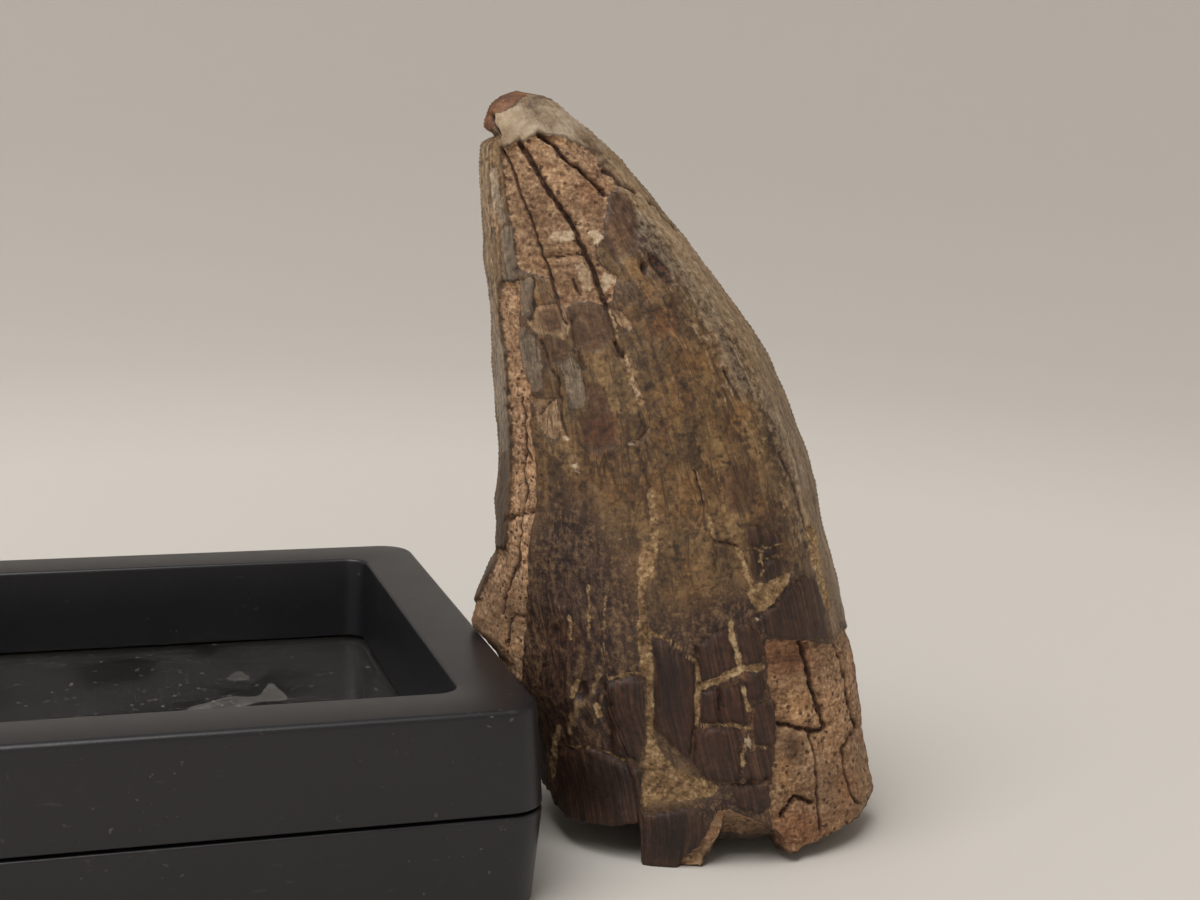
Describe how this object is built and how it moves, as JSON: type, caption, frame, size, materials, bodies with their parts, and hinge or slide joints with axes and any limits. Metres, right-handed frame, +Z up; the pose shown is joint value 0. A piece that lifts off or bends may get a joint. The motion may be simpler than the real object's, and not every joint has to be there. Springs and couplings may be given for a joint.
{
  "type": "fossil dinosaur tooth with display case stand",
  "caption": "Curved fossil theropod tooth with cracked, flaked enamel and a broken root, standing with its spur leaning on a square black display case with clear films.",
  "frame": {"origin": "on the table, under the middle of the whole object's box", "axes": "+Z up, +X along the front of the case towards the tooth, +Y from the front of the case to its back"},
  "size_m": [0.1136, 0.07, 0.0818],
  "materials": {
    "fossil": "mottled olive-brown enamel with tan exposed dentine, dull to satin",
    "case_plastic": "moulded black, fine matte texture",
    "film": "thin clear film, slightly dusty"
  },
  "bodies": {
    "root": {"tooth": "fossil", "case_upper_frame": "case_plastic", "case_lower_frame": "case_plastic", "upper_film": "film", "lower_film": "film"}
  },
  "joints": []
}
